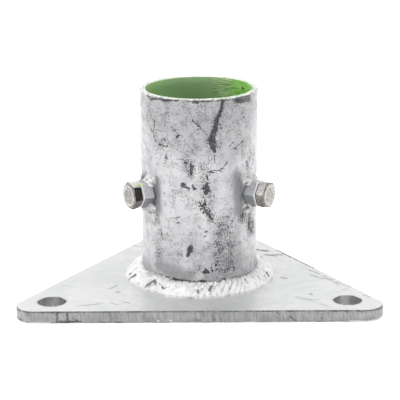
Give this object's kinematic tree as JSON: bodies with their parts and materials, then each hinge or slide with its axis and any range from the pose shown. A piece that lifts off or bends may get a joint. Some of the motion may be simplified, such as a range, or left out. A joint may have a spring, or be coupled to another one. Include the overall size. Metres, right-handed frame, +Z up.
{
  "type": "tube clamp base flange",
  "caption": "Triangular steel floor plate with anchor holes, an upright welded socket tube, and hex set bolts in welded nuts that clamp a post.",
  "frame": {"origin": "where the socket tube's axis meets the underside of the floor plate", "axes": "+Z up along the tube's axis; one corner of the plate points to +Y, and the edge between the other two corners faces -Y"},
  "size_m": [0.2316, 0.204, 0.135],
  "materials": {
    "galvanised_steel": "hot-dip galvanised, mottled and matt",
    "galvanised_weld": "weld metal under bright zinc",
    "bright_bolt_steel": "bright stainless steel"
  },
  "bodies": {
    "flange": {"base_plate": "galvanised_steel", "socket_tube": "galvanised_steel", "ring_weld": "galvanised_weld", "weld_nut_rear": "galvanised_steel", "weld_nut_left": "galvanised_steel", "weld_nut_right": "galvanised_steel", "nut_weld_rear_upper": "galvanised_weld", "nut_weld_rear_lower": "galvanised_weld", "nut_weld_left_upper": "galvanised_weld", "nut_weld_left_lower": "galvanised_weld", "nut_weld_right_upper": "galvanised_weld", "nut_weld_right_lower": "galvanised_weld"},
    "rear_bolt": {"set_bolt_rear": "bright_bolt_steel"},
    "left_bolt": {"set_bolt_left": "bright_bolt_steel"},
    "right_bolt": {"set_bolt_right": "bright_bolt_steel"}
  },
  "joints": [
    {"name": "rear_bolt_travel", "type": "slide", "parent": "flange", "child": "rear_bolt", "axis": [0, 1, 0], "range_m": [0, 0.012]},
    {"name": "left_bolt_travel", "type": "slide", "parent": "flange", "child": "left_bolt", "axis": [-0.866, -0.5, 0], "range_m": [0, 0.012]},
    {"name": "right_bolt_travel", "type": "slide", "parent": "flange", "child": "right_bolt", "axis": [0.866, -0.5, 0], "range_m": [0, 0.012]}
  ]
}
